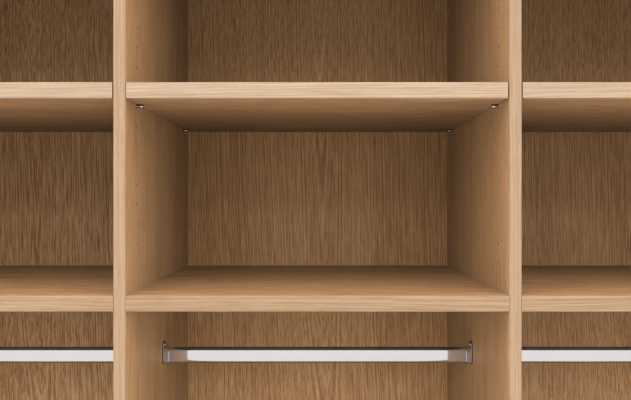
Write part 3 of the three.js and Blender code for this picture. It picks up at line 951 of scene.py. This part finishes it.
# Rail brackets
# Six die-cast brackets, chromed: an oval plate with a screw tab above and a cup open at the top.
# A dark plastic seat lies under the plate, and a cast peg behind it keeps the bracket from turning.
# The seat's rim shows round the smaller chrome plate as a dark line: a painted shadow line at the plate's
# edge.
plate_thickness = 3.0 * mm
seat_thickness = 1.6 * mm
shadow_line_width = 1.3 * mm
cup_depth = 12.0 * mm
cup_wall = 2.2 * mm
tab_radius = 6.0 * mm


def half_round_bar(name, low, high, radius):
    """A bar along X whose lower edges are rounded off."""
    bar = block(name, low, high)
    bpy.ops.object.mode_set(mode="EDIT")
    round_off(bar, radius, 14, lambda edge: edge.verts[0].co.z < low[2] + 0.1 * mm)
    bpy.ops.object.mode_set(mode="OBJECT")
    return bar


rail_middle = middle_of("centre_bay_hanging_rail")
bracket_low, bracket_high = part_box("centre_bay_rail_bracket_left")
half_width = (bracket_high.y - bracket_low.y) / 2
plate_back = bay_face
plate_face = plate_back + plate_thickness
arm_top = rail_middle.z + (rail_high.z - rail_low.z) / 4
plate = half_round_bar(
    "plate", (plate_back, bracket_low.y, bracket_low.z),
    (plate_face, bracket_high.y, bracket_high.z), half_width)
bpy.ops.object.mode_set(mode="EDIT")
mark(plate, "faces", lambda face: True)
bpy.ops.mesh.bisect(plane_co=(0, 0, arm_top), plane_no=(0, 0, 1))
mark(plate, "verts", lambda vertex: vertex.co.z > arm_top + mm)
bpy.ops.transform.resize(
    value=(1, tab_radius / half_width, 1), center_override=(0, rail_middle.y, bracket_high.z))
round_off(plate, tab_radius * 0.82, 12, lambda edge: edge.verts[0].co.z > bracket_high.z - 0.1 * mm,
          clamp_overlap=False)
bpy.ops.object.mode_set(mode="OBJECT")


def plate_layer(name, start, end, margin):
    """A copy of the plate between two depths, smaller all round by a margin, its front edge eased."""
    middle = Vector((plate_back, rail_middle.y, (bracket_low.z + bracket_high.z) / 2))
    shrink = Matrix.Diagonal((
        (end - start) / plate_thickness, 1 - margin / half_width,
        1 - 2 * margin / (bracket_high.z - bracket_low.z), 1))
    layer = copy_to(plate, name, Matrix.Translation(middle + Vector((start, 0, 0))) @ shrink
                    @ Matrix.Translation(-middle))
    ease(layer, 0.35 * mm, 3, lambda edge: wholly(edge, lambda co: co.x > plate_back + end - hair)
         and any(abs(face.normal.x) < 0.5 for face in edge.link_faces))
    return layer


shadow_line_seat = plate_layer("seat", 0.0, seat_thickness, 0.0)
cast_plate = plate_layer("cast_plate", seat_thickness - 0.2 * mm, plate_thickness, shadow_line_width)
scrap(plate)

cup_outer = half_width - 0.8 * mm
cup_inner = cup_outer - cup_wall
cup_low = rail_low.z - fit - cup_wall
cup = half_round_bar(
    "cup", (plate_back + mm, rail_middle.y - cup_outer, cup_low),
    (plate_back + cup_depth, rail_middle.y + cup_outer, arm_top), cup_outer)
hollow = half_round_bar(
    "hollow", (plate_face, rail_middle.y - cup_inner, cup_low + cup_wall),
    (plate_back + cup_depth + overrun, rail_middle.y + cup_inner, arm_top + overrun), cup_inner)
cup.data.materials.append(chrome_finish)
cut_away(cup, [hollow], chrome_finish)
work_with(cup, "BEVEL", width=0.5 * mm, segments=3, limit_method="ANGLE", angle_limit=math.radians(50))
# This dark plastic paints the shadow line round the chrome plate.
shadow_line_plastic = moulded_plastic("shadow_line_plastic", paint(58, 44, 32), 0.4 * mm)
screw_z = rail_middle.z + screw_rise
for layer, finish in ((shadow_line_seat, shadow_line_plastic), (cast_plate, chrome_finish)):
    layer.data.materials.append(finish)
    cut_away(layer, [drill(
        screw_bore, (plate_back - mm, rail_middle.y, screw_z),
        (plate_face + mm, rail_middle.y, screw_z), 32)], finish)
peg = turn_on_lathe("peg", 24, [(1.6, -7.7), (2.2, -7.0), (2.2, 0.5), (2.0, 1.0)])
lay_along(peg, (plate_back, rail_middle.y, rail_middle.z - peg_drop))
peg.data.materials.append(chrome_finish)
bracket = join("bracket", [shadow_line_seat, cast_plate, cup, peg])
smooth(bracket, 38)
work_with(bracket, "WEIGHTED_NORMAL", keep_sharp=True)
seat_on_both_sides(bracket, "rail_bracket", "casting", rail_middle.y, "bracket_chrome", None)
scrap(bracket)

# Rail bracket screws
# One steel screw holds each bracket by its tab. It has a pan head with a cross recess
# and a thread that stays in the board.
screw_low, screw_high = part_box("centre_bay_rail_screw_left")
head_radius = (screw_high.z - screw_low.z) / 2 / mm


def pan_head_screw(name, head, height, shank_start):
    """A screw along Z, its head's seat at zero: a domed head with a cross recess, and a threaded shank."""
    pitch = 1.3
    turns = int((-shank_start - 3.0) / pitch)
    thread = repeated([(1.3, 0.0), (1.8, 0.35), (1.3, 0.7)], turns, shank_start + 1.8, pitch)
    steps = [(0.5, shank_start), (1.2, shank_start + 1.6)] + thread + [
        (1.8, -0.5), (1.8, 0.0), (head - 0.15, 0.0), (head, 0.2), (head, height * 0.35),
        (head * 0.93, height * 0.62), (head * 0.78, height * 0.85), (head * 0.5, height * 0.98),
        (head * 0.2, height)]
    screw = turn_on_lathe(name, 36, steps)
    screw.data.materials.append(steel_finish)
    reach, half, floor = head * 0.52 * mm, 0.45 * mm, (height - 1.5) * mm
    for width, length in ((reach, half), (half, reach)):
        cross = block("cross", (-width, -length, floor), (width, length, (height + 1) * mm))
        bpy.ops.object.mode_set(mode="EDIT")
        mark(cross, "faces", lambda face: face.normal.z < -squarely)
        bpy.ops.transform.resize(value=(0.55, 0.55, 1), center_override=(0, 0, floor))
        bpy.ops.object.mode_set(mode="OBJECT")
        cut_away(screw, [cross], steel_finish)
    smooth(screw)
    return screw


screw = pan_head_screw("screw", head_radius, 2.4, -10.8)
lay_along(screw, (plate_face + 0.1 * mm, rail_middle.y, screw_z))
seat_on_both_sides(screw, "rail_screw", "pan_head", rail_middle.y, "screw_steel", None)
scrap(screw)

# Wall brackets
# A folded and zinc-plated steel angle is screwed down on each top panel, with a slot for the wall screw.
# The bend is round inside and out, and the corners of both legs are cut round.
bracket_low, bracket_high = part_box("centre_bay_wall_bracket")
sheet = 2.5 * mm
corner_radius = 6.0 * mm
bend_radius = 2.5 * mm
inner_bend_radius = 0.8 * mm
middle_x = (bracket_low.x + bracket_high.x) / 2
angle = block("angle", bracket_low, (bracket_high.x, bracket_high.y, bracket_low.z + sheet))
bpy.ops.object.mode_set(mode="EDIT")
mark(angle, "faces", lambda face: True)
bpy.ops.mesh.bisect(plane_co=(0, bracket_high.y - sheet, 0), plane_no=(0, 1, 0))
mark(angle, "faces", lambda face: (
    face.normal.z > squarely and face.calc_center_median().y > bracket_high.y - sheet))
bpy.ops.mesh.extrude_region_move(
    TRANSFORM_OT_translate={"value": (0, 0, bracket_high.z - bracket_low.z - sheet)})


def across_corner(edge):
    """The short edges through the sheet at the four outer corners of the two legs."""
    at_front = wholly(edge, lambda co: co.y < bracket_low.y + hair) and runs_along(edge, 2)
    at_top = wholly(edge, lambda co: co.z > bracket_high.z - hair) and runs_along(edge, 1)
    return at_front or at_top


round_edges(angle, corner_radius, 8, across_corner)
round_edges(angle, bend_radius, 6, lambda edge: wholly(
    edge, lambda co: co.y > bracket_high.y - hair and co.z < bracket_low.z + hair))
inner_y, inner_z = bracket_high.y - sheet, bracket_low.z + sheet
round_edges(angle, inner_bend_radius, 4, lambda edge: wholly(
    edge, lambda co: abs(co.y - inner_y) < hair and abs(co.z - inner_z) < hair))
bpy.ops.object.mode_set(mode="OBJECT")
angle.data.materials.append(zinc_finish)
hole_inset = 14.0 * mm
lying_y = bracket_low.y + hole_inset
standing_z = bracket_high.z - hole_inset
slot_radius, slot_half, corner_ease = 2.8 * mm, 3.5 * mm, 0.4 * mm
slot = half_round_bar(
    "slot", (middle_x - slot_half - slot_radius, bracket_high.y - sheet - mm, standing_z - slot_radius),
    (middle_x + slot_half + slot_radius, bracket_high.y + mm, standing_z + slot_radius), corner_ease)
cut_away(angle, [drill(
    slot_radius, (middle_x, lying_y, bracket_low.z - mm),
    (middle_x, lying_y, inner_z + mm), 32)], zinc_finish)
cut_away(angle, [slot], zinc_finish)
smooth(angle, 38)
lying_screw = pan_head_screw("lying_screw", 4.2, 2.6, -19.0)
lying_screw.data.transform(Matrix.Translation((middle_x, lying_y, bracket_low.z + sheet)))
for bay in bays:
    node = f"{bay}_bay_wall_bracket"
    seat(about_bay(angle, f"{node}_angle", bay, "left", 0), "carcass", "bracket_zinc", None, node)
    twin = about_bay(lying_screw, f"{node}_screw", bay, "left", 0)
    seat(twin, "carcass", "screw_steel", None)
scrap(angle, lying_screw)

# Floor
# A wide pale studio floor that carries the glides and throws some light up under the boards.
# It is nearly white far away, and keeps the shadow of the wardrobe.
clear_hands()
bpy.ops.mesh.primitive_plane_add(size=60, location=(0, 0, 0))
floor = bpy.context.object
floor.name = "studio_floor"
floor_finish, tree, place = new_finish("studio_floor", {"Roughness": 0.9, "Specular IOR Level": 0.1})
pale = blend(tree, noise(tree, place, 0.8, 4.0), (0.72, 0.71, 0.7, 1), (0.76, 0.75, 0.74, 1))
tree.links.new(pale, tree.nodes["Principled BSDF"].inputs["Base Color"])
floor.data.materials.append(floor_finish)

# Light
# A white room lights the wardrobe softly: by its walls and ceiling, by a broad light above the camera,
# and by a long low one in front, which draws the shade lines on the backs. It shows as plain white.
world = bpy.data.worlds.new("white_room")
bpy.context.scene.world = world
world.use_nodes = True
room = world.node_tree
even_light = 0.17
ceiling_light = 0.86
wall_light = 1.45
key_light = 1.06
low_light = 2.9
low_light_rise = 0.292
low_light_half_height = 0.035
low_light_narrowing = 4.0
behind_share = 0.5
key_direction = (0.0, -0.8, 0.6)
key_tightness = 6.0


def weigh(operation, first, second=0.0):
    return wire(room, "ShaderNodeMath", {0: first, 1: second}, operation=operation).outputs["Value"]


towards = wire(room, "ShaderNodeTexCoord").outputs["Generated"]
part = wire(room, "ShaderNodeSeparateXYZ", {"Vector": towards}).outputs
facing = wire(room, "ShaderNodeVectorMath", {0: towards, 1: key_direction}, operation="DOT_PRODUCT")
ceiling = weigh("MULTIPLY", weigh("MAXIMUM", part["Z"]), ceiling_light)
walls = weigh("MULTIPLY", weigh("ABSOLUTE", part["X"]), wall_light)
beam = weigh("POWER", weigh("MAXIMUM", facing.outputs["Value"]), key_tightness)
key = weigh("MULTIPLY", beam, key_light)
off_middle = weigh("DIVIDE", weigh("SUBTRACT", part["Z"], low_light_rise), low_light_half_height)
strip = weigh("MAXIMUM", weigh("SUBTRACT", 1.0, weigh("MULTIPLY", off_middle, off_middle)))
in_front = weigh("POWER", weigh("MAXIMUM", weigh("MULTIPLY", part["Y"], -1.0)), low_light_narrowing)
low = weigh("MULTIPLY", weigh("MULTIPLY", strip, in_front), low_light)
all_round = weigh("ADD", weigh("ADD", ceiling, walls), weigh("ADD", weigh("ADD", key, low), even_light))
behind = spread(room, part["Y"], 1.0, behind_share, 0.0, 0.5)
ray = wire(room, "ShaderNodeLightPath").outputs
mirrored = weigh("MAXIMUM", ray["Is Glossy Ray"], ray["Is Transmission Ray"])
shown = weigh("MAXIMUM", ray["Is Camera Ray"], mirrored)
background = room.nodes["Background"]
background.inputs["Color"].default_value = (1.0, 1.0, 1.0, 1.0)
room.links.new(
    blend(room, shown, weigh("MULTIPLY", all_round, behind), 1.0, "FLOAT"), background.inputs["Strength"])

# Camera
# It stands close in front of the middle bay at eye level and looks straight in, so that the uprights stay
# parallel. Its distance and height follow from the vanishing point and from the sizes of the bay.
picture_width = 631
focal_pixels = 758.5
vanishing_shift_x = 2.28
vanishing_shift_y = 2.45
sensor = 36.0
off_centre = 0.5 * mm
distance = 1.165
eye_rise = 0.1432
front_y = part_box("partition_left")[0].y
shelf_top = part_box("centre_bay_fixed_shelf")[1].z
camera_data = bpy.data.cameras.new("camera")
camera = bpy.data.objects.new("camera", camera_data)
bpy.context.scene.collection.objects.link(camera)
camera.location = (off_centre, front_y - distance, shelf_top + eye_rise)
camera.rotation_euler = (math.pi / 2, 0, 0)
camera_data.sensor_width = sensor
camera_data.lens = focal_pixels * sensor / picture_width
camera_data.shift_x = -vanishing_shift_x / picture_width
camera_data.shift_y = vanishing_shift_y / picture_width
camera_data.clip_start = 0.05
bpy.context.scene.camera = camera

bpy.context.scene.view_settings.view_transform = "Standard"
